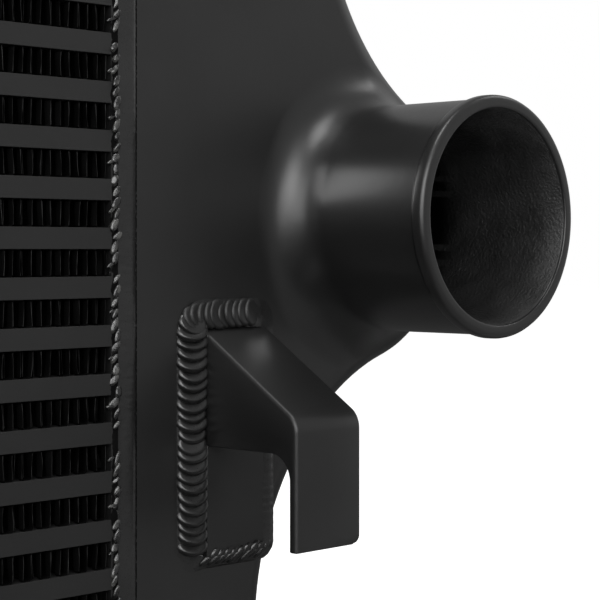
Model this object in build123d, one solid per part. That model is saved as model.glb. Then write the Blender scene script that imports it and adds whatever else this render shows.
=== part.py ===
from build123d import *
from math import atan2, cos, hypot, pi, sin, sqrt
import os

# An air-to-air intercooler of bar and plate make: a brazed core of flat charge-air tubes
# and corrugated air fins, with a hollow cast tank welded to each end of the core.
# Millimetres. X runs along the core, Y from front to back, Z up. The origin is the middle
# of the core's underside, on which it stands, and the hose necks point to the front, -Y.

# Core
core_length = 640.0             # the charge-air tubes, end to end
core_depth = 76.0
tube_count = 22
tube_height = 6.4               # outside, with both parting sheets
parting_sheet = 0.8             # sheet above and below the charge air
side_bar_width = 6.0            # solid bar along each long edge of a tube
air_fin_height = 8.1            # the gap between two tubes, which the air fin fills
header_bar_width = 8.0          # bar that closes each end of an air passage
side_plate_thickness = 3.2      # plate over the outermost air fins

# Corrugated fins, drawn with fewer folds than the real sheets
air_fin_sheet = 0.5
air_fin_wave = 44.0             # from fold to like fold
charge_fin_sheet = 0.5
charge_fin_wave = 32.0
fin_end_clearance = 0.5         # between a fin and the bars at its ends

# Cast end tanks
tank_wall = 5.0
tank_edge_radius = 12.0         # rounding of the long outer edges, in three flats
tank_corner_cut = 14.0          # the tank's corners, seen from the front
tank_rim_length = 10.0          # square rim that meets the core
upper_width = 90.7              # from the core's end to the side wall above the neck
lower_width = 58.7              # the same, below the neck
flank_radius = 90.0             # hollow curve from each side wall out to the neck
tank_end_radius = 51.0          # round end of the tank, about the neck's axis

# Hose neck, cast with the tank
neck_offset = 105.7             # from the core's end to the neck's axis
neck_radius = 38.1
neck_wall = 3.4
neck_length = 58.0              # from the tank's face to the lip's end
flare_radius = 15.0             # hollow fillet where the neck leaves the tank
flare_flats = 3                 # flats that the hollow is drawn with
lip_height = 1.1                # bead that holds the hose on
lip_width = 5.0

# Mounting bracket, a folded plate
bracket_plate = 3.2
bracket_offset = 28.0           # from the core's end to the bracket's inner edge
foot_width = 27.1               # the part that lies on the tank
foot_height = 71.5
foot_corner_radius = 4.0
tab_width = 26.6
tab_reach = 42.0                # from the tank's face to the front of the tab
tab_bend_drop = 26.4            # from the foot's top down to the tab's bend
tab_height = 39.4
bend_radius = 7.0               # outside of the bend
tab_corner_radius = 2.5
web_height = 36.8               # of the side web, on the tank
web_arc_radius = 8.0            # curve of the web's lower edge down to the tab
bracket_drop = 35.0             # from the neck's axis down to the foot's top

# Weld beads
header_weld_width = 9.4
header_weld_height = 1.3
header_weld_toe = 0.4           # thickness left at the bead's edges
foot_weld_height = 3.8
foot_weld_side = 10.0           # bead along the foot's inner edge
foot_weld_top = 9.0
foot_weld_outer = 5.0
foot_weld_bottom = 4.0
foot_weld_bevel = 2.4
weld_root = 3.0                 # depth below the tank's face from which a bead is trimmed

# Worked out from the sizes above
row_pitch = tube_height + air_fin_height
stack_height = tube_count * row_pitch + air_fin_height
stack_base = side_plate_thickness
core_height = stack_height + 2 * side_plate_thickness
core_end = core_length / 2
front_face = -core_depth / 2
header_bar_inner = core_end - header_bar_width
neck_x = core_end + neck_offset
neck_z = core_height / 2
bracket_x = core_end + bracket_offset
foot_top = neck_z - bracket_drop
foot_bottom = foot_top - foot_height


def box_between(low, high):
    """A box from its lowest corner to its highest."""
    size = [high[i] - low[i] for i in range(3)]
    middle = [(high[i] + low[i]) / 2 for i in range(3)]
    return Pos(*middle) * Box(*size)


def corrugated_profile(start, length, height, sheet, wave):
    """Outline of a folded sheet that runs from start along X and fills the height."""
    fold_count = 2 * max(1, round(length / wave))
    step = length / fold_count
    slope_gap = sheet * hypot(step, height) / step
    lower = [(start + i * step, (height - slope_gap) * (i % 2)) for i in range(fold_count + 1)]
    upper = [(x, z + slope_gap) for x, z in lower]
    return Polyline(*lower, *reversed(upper), close=True)


# Core

def charge_tube(base):
    """Two side bars and two parting sheets brazed into a flat tube, open at both ends."""
    outside = box_between(
        (-core_end, front_face, base), (core_end, -front_face, base + tube_height)
    )
    passage = box_between(
        (-core_end, front_face + side_bar_width, base + parting_sheet),
        (core_end, -front_face - side_bar_width, base + tube_height - parting_sheet),
    )
    return outside - passage


def charge_fin(base):
    """Folded sheet inside a tube, its channels running along X."""
    half_depth = core_depth / 2 - side_bar_width - fin_end_clearance
    height = tube_height - 2 * parting_sheet
    profile = corrugated_profile(
        -half_depth, 2 * half_depth, height, charge_fin_sheet, charge_fin_wave
    )
    face = Plane(
        origin=(-core_end, 0, base + parting_sheet), x_dir=(0, 1, 0), z_dir=(1, 0, 0)
    ) * make_face(profile)
    return extrude(face, amount=core_length)


def air_fin(base):
    """Folded sheet between two tubes, its channels running from front to back."""
    half_length = header_bar_inner - fin_end_clearance
    profile = corrugated_profile(
        -half_length, 2 * half_length, air_fin_height, air_fin_sheet, air_fin_wave
    )
    face = Plane(
        origin=(0, front_face, base), x_dir=(1, 0, 0), z_dir=(0, -1, 0)
    ) * make_face(profile)
    return extrude(face, amount=-core_depth)


def header_bar(base):
    """Solid bar that closes the right end of one air passage."""
    return box_between(
        (header_bar_inner, front_face, base),
        (core_end, -front_face, base + air_fin_height),
    )


def side_plate(base):
    """Flat plate over the outermost air fin, between the two header welds."""
    return box_between(
        (-header_bar_inner, front_face, base),
        (header_bar_inner, -front_face, base + side_plate_thickness),
    )


# End tanks

def arc_about(centre, start, end):
    """Arc from start to end about a centre, the shorter way round."""
    reach = hypot(start[0] - centre[0], start[1] - centre[1])
    toward = (start[0] + end[0] - 2 * centre[0], start[1] + end[1] - 2 * centre[1])
    length = hypot(*toward)
    middle = (centre[0] + reach * toward[0] / length, centre[1] + reach * toward[1] / length)
    return ThreePointArc(start, middle, end)


def side_flank(side, width, end_radius, hollow_radius):
    """Centre of the hollow arc above (1) or below (-1) the neck, and where it meets the end."""
    across = width + hollow_radius - neck_offset
    up = side * sqrt((end_radius + hollow_radius) ** 2 - across ** 2)
    share = end_radius / (end_radius + hollow_radius)
    return (neck_offset + across, up), (neck_offset + share * across, share * up)


def tank_outline(inset):
    """The tank seen from the front, drawn inset from its skin, with its open side at the core.

    Each side wall curves out to the round end that surrounds the neck. X is counted from the
    core's end and Y from the neck's axis.
    """
    end_radius = tank_end_radius - inset
    half_height = stack_height / 2 - inset
    upper_wall = upper_width - inset
    lower_wall = lower_width - inset
    upper_centre, upper_touch = side_flank(1, upper_wall, end_radius, flank_radius + inset)
    lower_centre, lower_touch = side_flank(-1, lower_wall, end_radius, flank_radius + inset)
    tall = half_height + upper_centre[1] - lower_centre[1]
    edges = [
        Line((0, -tall), (lower_wall, -tall)),
        Line((lower_wall, -tall), (lower_wall, lower_centre[1])),
        arc_about(lower_centre, (lower_wall, lower_centre[1]), lower_touch),
        ThreePointArc(lower_touch, (neck_offset + end_radius, 0), upper_touch),
        arc_about(upper_centre, upper_touch, (upper_wall, upper_centre[1])),
        Line((upper_wall, upper_centre[1]), (upper_wall, tall)),
        Line((upper_wall, tall), (0, tall)),
        Line((0, tall), (0, -tall)),
    ]
    reach = neck_offset + end_radius
    height_band = Pos(reach, 0) * Rectangle(2 * reach, 2 * half_height)
    outline = make_face(Wire(edges)) & height_band
    corners = outline.vertices().filter_by(
        lambda v: v.X > tank_rim_length and abs(abs(v.Y) - half_height) < 0.01
    )
    return chamfer(corners, tank_corner_cut - inset * (2 - sqrt(2)))


def outline_at(inset, out):
    """The tank's outline in place, at a distance out from its front face."""
    plane = Plane(
        origin=(core_end, front_face - out, neck_z), x_dir=(1, 0, 0), z_dir=(0, -1, 0)
    )
    return plane * tank_outline(inset)


def flare_touch():
    """Where the flare's hollow runs over the tank's rounded edge, at the tank's round end.

    The flare's circle touches the neck and the circle of the edge's rounding. Given are the
    distance of its centre out from the tank's face, and the angle on it between the neck and
    the point where it meets the edge.
    """
    across = neck_radius + flare_radius - (tank_end_radius - tank_edge_radius)
    rise = sqrt((flare_radius + tank_edge_radius) ** 2 - across ** 2)
    return rise - tank_edge_radius, atan2(rise, across)


def edge_profile():
    """Inset and distance out of each line between the flats that round the long edges."""
    meets_flare = pi / 2 - flare_touch()[1]
    angles = [pi / 2, (pi / 2 + meets_flare) / 2, meets_flare, 0]
    return [
        (tank_edge_radius * (1 - sin(angle)), tank_edge_radius * (cos(angle) - 1))
        for angle in angles
    ]


def tank_skin():
    """The tank's outer form with no neck: its outline, with the long edges rounded in flats."""
    half_depth = core_depth / 2
    front_edge = loft([outline_at(inset, out) for inset, out in edge_profile()], ruled=True)
    front_half = front_edge + extrude(
        outline_at(0, -half_depth), amount=half_depth - tank_edge_radius
    )
    return front_half + mirror(front_half, about=Plane.XZ)


def revolved_about_neck(points):
    """A solid turned about the neck's axis from points of radius and distance out."""
    plane = Plane(origin=(neck_x, front_face, neck_z), x_dir=(1, 0, 0), z_dir=(0, 0, 1))
    outline = Polyline(*[(radius, -out) for radius, out in points], close=True)
    return revolve(plane * make_face(outline), Axis((neck_x, front_face, neck_z), (0, 1, 0)))


def neck_flare():
    """Hollow fillet from the tank's face to the neck, which runs over the edge at the end."""
    reach = neck_radius + flare_radius
    hollow = [
        (reach - flare_radius * sin(angle), flare_radius * (1 - cos(angle)))
        for angle in [i * pi / 2 / flare_flats for i in range(flare_flats + 1)]
    ]
    skirt = revolved_about_neck(
        [(0, -tank_edge_radius), (reach, -tank_edge_radius), *hollow, (0, flare_radius)]
    )
    centre_out, touch_angle = flare_touch()
    meets_edge = edge_profile()[2]
    half_way = (
        tank_end_radius - reach + flare_radius * cos(touch_angle / 2),
        centre_out - flare_radius * sin(touch_angle / 2),
    )
    meets_neck = (tank_end_radius - neck_radius, centre_out)
    beyond = (flare_radius - centre_out) / (centre_out - half_way[1])
    top = (meets_neck[0] + beyond * (meets_neck[0] - half_way[0]), flare_radius)
    over_edge = [outline_at(*meets_edge), outline_at(*half_way), outline_at(*top)]
    return skirt & loft(over_edge, ruled=True)


def hose_neck():
    """The neck's outside, from the middle of the tank out to its lip, with no bore yet."""
    lip_start = neck_length - lip_width
    lip_radius = neck_radius + lip_height
    return revolved_about_neck([
        (0, -core_depth / 2),
        (neck_radius, -core_depth / 2),
        (neck_radius, lip_start),
        (lip_radius, lip_start + lip_height),
        (lip_radius, neck_length - lip_height),
        (lip_radius - lip_height, neck_length),
        (0, neck_length),
    ])


def end_tank():
    """The right tank: a hollow casting, open to the core, with its hose neck and lip."""
    rim = box_between(
        (core_end, front_face, stack_base),
        (core_end + tank_rim_length, -front_face, stack_base + stack_height),
    )
    inside = extrude(outline_at(tank_wall, -tank_wall), amount=2 * tank_wall - core_depth)
    bore_radius = neck_radius - neck_wall
    bore = revolved_about_neck([
        (0, -core_depth / 2),
        (bore_radius, -core_depth / 2),
        (bore_radius, neck_length + lip_width),
        (0, neck_length + lip_width),
    ])
    return tank_skin() + rim + neck_flare() + hose_neck() - inside - bore


# Bracket

def bracket():
    """Plate folded into a foot, a side web and a sloping arm that ends in an upright tab."""
    foot_outline = Rectangle(foot_width, foot_height)
    lower_outer = foot_outline.vertices().sort_by(Axis.Y)[:2].sort_by(Axis.X)[-1]
    foot_outline = fillet(lower_outer, foot_corner_radius)
    foot_plane = Plane(
        origin=(bracket_x + foot_width / 2, front_face, foot_top - foot_height / 2),
        x_dir=(1, 0, 0),
        z_dir=(0, -1, 0),
    )
    foot = extrude(foot_plane * foot_outline, amount=bracket_plate)

    # Seen along X, with its first axis out from the tank's face and its second up
    side_plane = Plane(
        origin=(bracket_x, front_face, foot_top), x_dir=(0, -1, 0), z_dir=(-1, 0, 0)
    )
    slope = tab_bend_drop / tab_reach
    under = bracket_plate * sqrt(1 + slope ** 2)
    inner_reach = tab_reach - bracket_plate
    tab_bottom = -tab_bend_drop - tab_height
    arm_outline = make_face(Polyline(
        (0, 0),
        (tab_reach, -tab_bend_drop),
        (tab_reach, tab_bottom),
        (inner_reach, tab_bottom),
        (inner_reach, -slope * inner_reach - under),
        (0, -under),
        close=True,
    ))
    outer_bend = arm_outline.vertices().sort_by_distance((tab_reach, -tab_bend_drop))[0]
    arm_outline = fillet(outer_bend, bend_radius)
    inner_bend = arm_outline.vertices().sort_by_distance(
        (inner_reach, -slope * inner_reach - under)
    )[0]
    arm_outline = fillet(inner_bend, bend_radius - bracket_plate)
    arm = extrude(side_plane * arm_outline, amount=-tab_width)
    tab_corners = arm.edges().filter_by(Axis.Y).filter_by(
        lambda e: e.center().Z < foot_top + tab_bottom + 0.01 and e.center().X > bracket_x + 1
    )
    arm = fillet(tab_corners, tab_corner_radius)

    web_outline = make_face(Polyline(
        (0, 0),
        (inner_reach, -slope * inner_reach),
        (inner_reach, -web_height - web_arc_radius),
        (inner_reach - web_arc_radius, -web_height),
        (0, -web_height),
        close=True,
    ))
    hollow = Pos(inner_reach - web_arc_radius, -web_height - web_arc_radius) * Circle(
        web_arc_radius
    )
    corner = Pos(inner_reach - web_arc_radius / 2, -web_height - web_arc_radius / 2) * Rectangle(
        web_arc_radius, web_arc_radius
    )
    web_outline = web_outline + (corner - hollow)
    web = extrude(side_plane * web_outline, amount=-bracket_plate)
    return foot + arm + web


# Welds

def header_weld():
    """Bead round the joint between the core's end and the tank's rim."""
    sections = []
    flat_start = header_weld_width / 4
    for along, height in (
        (0, header_weld_toe),
        (flat_start, header_weld_height),
        (header_weld_width - flat_start, header_weld_height),
        (header_weld_width, header_weld_toe),
    ):
        plane = Plane(
            origin=(header_bar_inner + along, 0, neck_z), x_dir=(0, 1, 0), z_dir=(1, 0, 0)
        )
        section = Rectangle(core_depth + 2 * height, stack_height + 2 * height)
        sections.append(plane * section)
    ring = loft(sections, ruled=True)
    return ring - box_between(
        (header_bar_inner, front_face, stack_base),
        (header_bar_inner + header_weld_width, -front_face, stack_base + stack_height),
    )


def bracket_weld(tank, plate):
    """Bead round the bracket's foot, trimmed to the tank's skin and to the bracket."""
    low = (bracket_x - foot_weld_side, foot_bottom - foot_weld_bottom)
    high = (bracket_x + foot_width + foot_weld_outer, foot_top + foot_weld_top)
    plane = Plane(
        origin=((low[0] + high[0]) / 2, front_face + weld_root, (low[1] + high[1]) / 2),
        x_dir=(1, 0, 0),
        z_dir=(0, -1, 0),
    )
    outline = Rectangle(high[0] - low[0], high[1] - low[1])
    bead = extrude(plane * outline, amount=weld_root + foot_weld_height)
    bead = chamfer(bead.faces().sort_by(Axis.Y)[0].edges(), foot_weld_bevel)
    foot_space = box_between(
        (bracket_x, front_face - foot_weld_height, foot_bottom),
        (bracket_x + foot_width, front_face + weld_root, foot_top),
    )
    return bead - foot_space - tank - plate


# The parts, built and written one file to each

def build_parts():
    parts = {}
    for index in range(tube_count + 1):
        fin_base = stack_base + index * row_pitch
        parts[f"air_fin_{index + 1:02d}"] = air_fin(fin_base)
    for index in range(tube_count):
        tube_base = stack_base + air_fin_height + index * row_pitch
        parts[f"charge_tube_{index + 1:02d}"] = charge_tube(tube_base)
    parts["charge_fins"] = Compound(
        [
            charge_fin(stack_base + air_fin_height + index * row_pitch).solid()
            for index in range(tube_count)
        ]
    )
    header_bars = Compound(
        [header_bar(stack_base + index * row_pitch).solid() for index in range(tube_count + 1)]
    )
    tank = end_tank()
    plate = bracket()
    right_side = {
        "header_bars": header_bars,
        "tank": tank,
        "header_weld": header_weld(),
        "bracket": plate,
        "bracket_weld": bracket_weld(tank, plate),
    }
    for name, shape in right_side.items():
        parts[f"right_{name}"] = shape
        parts[f"left_{name}"] = mirror(shape, about=Plane.YZ)
    parts["bottom_side_plate"] = side_plate(0)
    parts["top_side_plate"] = side_plate(core_height - side_plate_thickness)
    return parts


os.makedirs("parts", exist_ok=True)
for name, shape in build_parts().items():
    export_step(shape, f"parts/{name}.step")
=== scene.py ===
from math import cos, pi, radians, sin, sqrt

import bmesh
import bpy
import numpy as np
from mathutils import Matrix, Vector
from mathutils.geometry import delaunay_2d_cdt


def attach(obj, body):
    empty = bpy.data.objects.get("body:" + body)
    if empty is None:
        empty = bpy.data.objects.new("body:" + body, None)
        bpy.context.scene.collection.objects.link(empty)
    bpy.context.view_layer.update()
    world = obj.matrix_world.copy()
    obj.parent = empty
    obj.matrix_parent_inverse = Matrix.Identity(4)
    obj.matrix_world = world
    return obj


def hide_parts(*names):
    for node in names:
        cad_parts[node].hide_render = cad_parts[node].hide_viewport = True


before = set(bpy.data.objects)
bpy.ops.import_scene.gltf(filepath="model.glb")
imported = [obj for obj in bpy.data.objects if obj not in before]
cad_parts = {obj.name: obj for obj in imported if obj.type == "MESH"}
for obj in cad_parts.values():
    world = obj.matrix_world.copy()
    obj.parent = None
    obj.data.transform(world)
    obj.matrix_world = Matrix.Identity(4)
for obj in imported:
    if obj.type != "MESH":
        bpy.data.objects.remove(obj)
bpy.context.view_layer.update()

# Charge-air tubes
# Flat passages, each brazed from two aluminium side bars and two thin parting sheets, and powder
# coated black with the whole cooler. Their front bars are the smooth stripes of the core.

mm = 0.001
tube_count = 22
row_pitch = 14.5 * mm
tube_half_length = 320 * mm
core_half_depth = 38 * mm
lowest_tube = 11.3 * mm
tube_height = 6.4 * mm
side_bar_width = 6 * mm
parting_sheet = 0.8 * mm
bar_edge_radius = 0.12 * mm
seam_width = 0.16 * mm
seam_depth = 0.03 * mm


def linear(colour):
    """An sRGB hex colour as linear red, green, blue and alpha."""
    parts = [int(colour[i:i + 2], 16) / 255 for i in (1, 3, 5)]
    return [c / 12.92 if c <= 0.04045 else ((c + 0.055) / 1.055) ** 2.4 for c in parts] + [1.0]


def add_node(tree, kind, sockets=None, settings=None):
    """Adds a node with its settings and gives its outputs.

    Its sockets get values, or links where the output of another node is given.
    """
    node = tree.nodes.new(kind)
    for name, value in (settings or {}).items():
        setattr(node, name, value)
    for name, value in (sockets or {}).items():
        if isinstance(value, bpy.types.NodeSocket):
            tree.links.new(value, node.inputs[name])
        else:
            node.inputs[name].default_value = value
    return node.outputs


def new_material(name):
    """A material whose node tree is empty, and the tree."""
    material = bpy.data.materials.new(name)
    material.use_nodes = True
    material.node_tree.nodes.clear()
    return material, material.node_tree


def noise(tree, size, detail):
    """Noise that is fixed to the piece, with patches about as wide as a size in millimetres."""
    place = add_node(tree, "ShaderNodeTexCoord")["Object"]
    sockets = {"Vector": place, "Scale": 1 / (size * mm), "Detail": detail}
    return add_node(tree, "ShaderNodeTexNoise", sockets)["Fac"]


def ranged(tree, value, least, most, ends="To"):
    """A value between 0 and 1 moved to a range, or one of a range moved to 0 to 1."""
    sockets = {"Value": value, f"{ends} Min": least, f"{ends} Max": most}
    return add_node(tree, "ShaderNodeMapRange", sockets)["Result"]


def blended(tree, share, shades):
    """A shade between two."""
    sockets = {0: share, 6: linear(shades[0]), 7: linear(shades[1])}
    return add_node(tree, "ShaderNodeMix", sockets, {"data_type": "RGBA"})[2]


def coated_surface(name, shades, patch, shine, gloss, peel, grain, spread=(0.32, 0.68)):
    """A powder coat: two close shades in patches, its roughness, its orange peel and its grain.

    The peel and the grain are given as their width and their depth, in millimetres like the patch.
    """
    material, tree = new_material(name)
    patches = ranged(tree, noise(tree, patch, 3.0), *spread, ends="From")
    grains = noise(tree, grain[0], 2.0)
    waves = add_node(tree, "ShaderNodeBump", {
        "Distance": peel[1] * mm, "Height": noise(tree, peel[0], 2.0),
    })["Normal"]
    relief = add_node(tree, "ShaderNodeBump", {
        "Distance": grain[1] * mm, "Height": grains, "Normal": waves,
    })["Normal"]
    coat = add_node(tree, "ShaderNodeBsdfPrincipled", {
        "Base Color": blended(tree, patches, shades), "Roughness": ranged(tree, grains, *shine),
        "IOR": 1.5, "Specular IOR Level": gloss, "Normal": relief,
    })["BSDF"]
    add_node(tree, "ShaderNodeOutputMaterial", {"Surface": coat})
    return material


# Satin black polyester powder, sprayed and baked. It lies smooth on the extruded bars, with a
# faint orange peel about 2 mm from crest to crest, and hardly mirrors what is round it.
powder_on_bars = coated_surface(
    "satin_black_powder_on_bars", ("#1d1d1d", "#202020"), 26, (0.44, 0.54), 0.4,
    (2.0, 0.012), (0.35, 0.002),
)


def linked(name, data):
    """An object in the scene with its mesh, lamp or camera."""
    thing = bpy.data.objects.new(name, data)
    bpy.context.scene.collection.objects.link(thing)
    return thing


def shown(name, vertices, faces, material, sharp_from=30):
    """An object in the scene from its corners and faces, with edges sharp from an angle."""
    mesh = bpy.data.meshes.new(name)
    mesh.from_pydata([tuple(float(c) for c in v) for v in vertices], [], [tuple(f) for f in faces])
    mesh.materials.append(material)
    mesh.shade_smooth()
    mesh.set_sharp_from_angle(angle=radians(sharp_from))
    return linked(name, mesh)


def bar_loop(half_depth, low, high, radius, groove):
    """Outline across a tube, its corners round and its brazed seams as fine grooves."""
    points = []
    for side, up, start in ((-1, -1, 180), (1, -1, 270), (1, 1, 0), (-1, 1, 90)):
        centre = (side * (half_depth - radius), low + radius if up < 0 else high - radius)
        for step in range(4):
            angle = radians(start + 30 * step)
            points.append((centre[0] + radius * cos(angle), centre[1] + radius * sin(angle)))
        if side * up < 0:
            seams = [low + parting_sheet, high - parting_sheet]
            for seam in seams if side > 0 else reversed(seams):
                way = side * seam_width / 2
                points.append((side * half_depth, seam - way))
                points.append((side * (half_depth - groove), seam))
                points.append((side * half_depth, seam + way))
    return points


def lengthwise(loop, half_length):
    """The corners of an outline at both ends of its length along X."""
    return [(x, y, z) for x in (-half_length, half_length) for y, z in loop]


outer_loop = bar_loop(core_half_depth, 0, tube_height, bar_edge_radius, seam_depth)
inner_loop = bar_loop(
    core_half_depth - side_bar_width, parting_sheet, tube_height - parting_sheet,
    bar_edge_radius, 0,
)
loop_size = len(outer_loop)
tube_corners = lengthwise(outer_loop, tube_half_length) + lengthwise(inner_loop, tube_half_length)
tube_faces = []
a, b, c = loop_size, 2 * loop_size, 3 * loop_size
for i in range(loop_size):
    j = (i + 1) % loop_size
    tube_faces += [
        (i, j, a + j, a + i), (b + i, c + i, c + j, b + j), (i, b + i, b + j, j),
        (a + i, a + j, c + j, c + i),
    ]
lone_tube = shown("charge_tubes", tube_corners, tube_faces, powder_on_bars, 8)


def new_growth(name, inputs):
    """A tree for Geometry Nodes with named inputs, their identifiers and the inputs."""
    tree = bpy.data.node_groups.new(name, "GeometryNodeTree")
    identifiers = {}
    for label, kind in {"Geometry": "Geometry", **inputs}.items():
        identifiers[label] = tree.interface.new_socket(
            name=label, in_out="INPUT", socket_type=f"NodeSocket{kind}"
        ).identifier
    tree.interface.new_socket(name="Geometry", in_out="OUTPUT", socket_type="NodeSocketGeometry")
    return tree, identifiers, add_node(tree, "NodeGroupInput")


def repeated(tree, points, piece, **more):
    """A piece set on each point and made real."""
    sockets = {"Points": points, "Instance": piece, **more}
    instances = add_node(tree, "GeometryNodeInstanceOnPoints", sockets)[0]
    return add_node(tree, "GeometryNodeRealizeInstances", {"Geometry": instances})[0]


def coated(tree, geometry, material, **more):
    """A geometry with a material on it."""
    sockets = {"Geometry": geometry, "Material": material, **more}
    return add_node(tree, "GeometryNodeSetMaterial", sockets)[0]


def settled(piece):
    """Leaves what the piece's modifiers make of it as its plain mesh."""
    graph = bpy.context.evaluated_depsgraph_get()
    mesh = bpy.data.meshes.new_from_object(piece.evaluated_get(graph))
    piece.modifiers.clear()
    piece.data = mesh


def grow(piece, tree, identifiers, values):
    """Runs a tree on a piece, with values for its named inputs."""
    growth = piece.modifiers.new("growth", "NODES")
    growth.node_group = tree
    for label, value in values.items():
        growth[identifiers[label]] = value
    settled(piece)


stack_tree, stack_inputs, given = new_growth("stack_of_tubes", {
    "Tubes": "Int", "Pitch": "Float", "Lowest": "Float",
})
rise = add_node(stack_tree, "ShaderNodeCombineXYZ", {"Z": given["Pitch"]})[0]
start = add_node(stack_tree, "ShaderNodeCombineXYZ", {"Z": given["Lowest"]})[0]
places = add_node(stack_tree, "GeometryNodeMeshLine", {
    "Count": given["Tubes"], "Start Location": start, "Offset": rise,
})[0]
stack = coated(stack_tree, repeated(stack_tree, places, given["Geometry"]), powder_on_bars)
add_node(stack_tree, "NodeGroupOutput", {"Geometry": stack})

grow(lone_tube, stack_tree, stack_inputs, {
    "Tubes": tube_count, "Pitch": row_pitch, "Lowest": lowest_tube,
})
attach(lone_tube, "root")
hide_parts(*[f"charge_tube_{i + 1:02d}" for i in range(tube_count)])

# Air fins
# Strips of thin aluminium, lanced and folded into square waves, which fill the rows between the
# tubes and are brazed to them. The cooling air goes through them from front to back.

fin_rows = 23
fin_height = 8.1 * mm
lowest_fin = 3.2 * mm
fin_half_length = 311.5 * mm
fin_folds = 92
fin_sheet = 0.13 * mm
fin_fold_length = 2 * fin_half_length / fin_folds
fin_corner = 0.5 * mm
lance_depth = 2.0 * mm
fin_front = 37.8 * mm
kink_length = 4.2 * mm
kink_depth = 3.2 * mm

# The same black powder, dull on the fins and painted near black there: painted shade, standing in
# for the shade deep in the rows between the tubes.
shaded_fin_coat = coated_surface(
    "black_powder_on_fins", ("#030303", "#060606"), 8, (0.6, 0.75), 0.06,
    (1.2, 0.03), (0.3, 0.004),
)
# On the walls' sheared front edges, lighter grey patches in the black: painted highlights where
# the lit edges catch the light.
painted_highlights_on_fin_edges = coated_surface(
    "fin_edges_with_painted_highlights", ("#030303", "#404040"), 4, (0.35, 0.55), 0.15,
    (0.8, 0.05), (0.3, 0.01), (0.38, 0.72),
)


def fold_line(shift, wall_steps):
    """One fold of the sheet's middle line, from the middle of a crest to the next."""
    low, high = fin_sheet / 2, fin_height - fin_sheet / 2
    quarter = fin_fold_length / 4
    heights = np.linspace(high - fin_corner, low + fin_corner, wall_steps + 1)
    points = [(0, high), (quarter - fin_corner, high)]
    points += [(quarter, z) for z in heights]
    points += [(quarter + fin_corner, low), (3 * quarter - fin_corner, low)]
    points += [(3 * quarter, z) for z in reversed(heights)]
    points += [(3 * quarter + fin_corner, high), (4 * quarter, high)]
    return [(x + shift, z) for x, z in points]


def folded_strip(line, stations, corners, faces, cut):
    """Adds a strip of sheet that follows a line, at stations of depth and sideways shift.

    Each face is noted as a wall's sheared edge, or not.
    """
    first = len(corners)
    count = len(line)
    path = np.array(line)
    ways = np.gradient(path, axis=0)
    ways /= np.linalg.norm(ways, axis=1)[:, None]
    sides = np.stack([-ways[:, 1], ways[:, 0]], axis=1) * fin_sheet / 2
    for depth, shift in stations:
        for side in (1, -1):
            for (x, z), (across, up) in zip(path, sides):
                corners.append((x + side * across + shift, depth, z + side * up))
    last = len(stations) - 1
    for i in range(count - 1):
        for level in range(last):
            a = first + 2 * level * count + i
            b, c, d = a + count, a + 2 * count, a + 3 * count
            faces.append((a, a + 1, c + 1, c))
            faces.append((b, d, d + 1, b + 1))
            cut += [False, False]
            upright = bool(abs(path[i + 1][0] - path[i][0]) < 1e-9)
            if level == 0:
                faces.append((a, b, b + 1, a + 1))
                cut.append(upright)
            if level == last - 1:
                faces.append((c, c + 1, d + 1, d))
                cut.append(upright)


fold_corners, fold_faces, cut_edges = [], [], []
inner_front = fin_front - lance_depth
for line, stations in (
    (fold_line(0, 3), [(-fin_front, 0), (-inner_front, 0)]),
    (
        fold_line(fin_fold_length / 4, 1),
        [(-inner_front, 0), (0, fin_fold_length / 2), (inner_front, 0)],
    ),
    (fold_line(0, 1), [(inner_front, 0), (fin_front, 0)]),
):
    folded_strip(line, stations, fold_corners, fold_faces, cut_edges)


def vector_step(tree, operation, vector, other, socket=1):
    """One step of vector arithmetic."""
    sockets = {0: vector, socket: other}
    return add_node(tree, "ShaderNodeVectorMath", sockets, {"operation": operation})[0]


fin_tree, fin_inputs, given = new_growth("row_of_folds", {
    "Folds": "Int", "Pitch": "Float", "Base": "Float", "Unevenness": "Float", "Seed": "Float",
})
row_start = add_node(fin_tree, "ShaderNodeCombineXYZ", {
    "X": -fin_half_length, "Z": given["Base"],
})[0]
along = add_node(fin_tree, "ShaderNodeCombineXYZ", {"X": given["Pitch"]})[0]
places = add_node(fin_tree, "GeometryNodeMeshLine", {
    "Count": given["Folds"], "Start Location": row_start, "Offset": along,
})[0]
sheet = repeated(fin_tree, places, given["Geometry"])
# Noise that changes slowly up a wall shifts the folds sideways and, less, to the front and back
where = add_node(fin_tree, "GeometryNodeInputPosition")[0]
kinks = add_node(fin_tree, "ShaderNodeTexNoise", {
    "Vector": vector_step(fin_tree, "MULTIPLY", where, (1.0, 1.0, 0.3)), "W": given["Seed"],
    "Scale": 1 / kink_length, "Detail": 1.0,
}, {"noise_dimensions": "4D"})["Color"]
centred = vector_step(fin_tree, "SUBTRACT", kinks, (0.5, 0.5, 0.5))
sideways = vector_step(fin_tree, "MULTIPLY", centred, (1.0, 0.2, 0.0))
uneven = vector_step(fin_tree, "SCALE", sideways, given["Unevenness"], "Scale")
crooked = add_node(fin_tree, "GeometryNodeSetPosition", {"Geometry": sheet, "Offset": uneven})[0]
on_edge = add_node(fin_tree, "GeometryNodeInputNamedAttribute", {"Name": "cut_edge"}, {
    "data_type": "BOOLEAN",
})["Attribute"]
# The fins get the near-black coat, which is painted shade.
film = coated(fin_tree, crooked, shaded_fin_coat)
# The sheared front edges get the lighter patches, which are painted highlights.
finished = coated(fin_tree, film, painted_highlights_on_fin_edges, Selection=on_edge)
add_node(fin_tree, "NodeGroupOutput", {"Geometry": finished})

for row in range(fin_rows):
    fin = shown(f"air_fin_row_{row + 1:02d}", fold_corners, fold_faces, shaded_fin_coat, 40)
    fin.data.attributes.new("cut_edge", "BOOLEAN", "FACE").data.foreach_set("value", cut_edges)
    grow(fin, fin_tree, fin_inputs, {
        "Folds": fin_folds, "Pitch": fin_fold_length, "Base": lowest_fin + row * row_pitch,
        "Unevenness": kink_depth, "Seed": 1.7 * row,
    })
    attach(fin, "root")
    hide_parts(f"air_fin_{row + 1:02d}")

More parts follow.
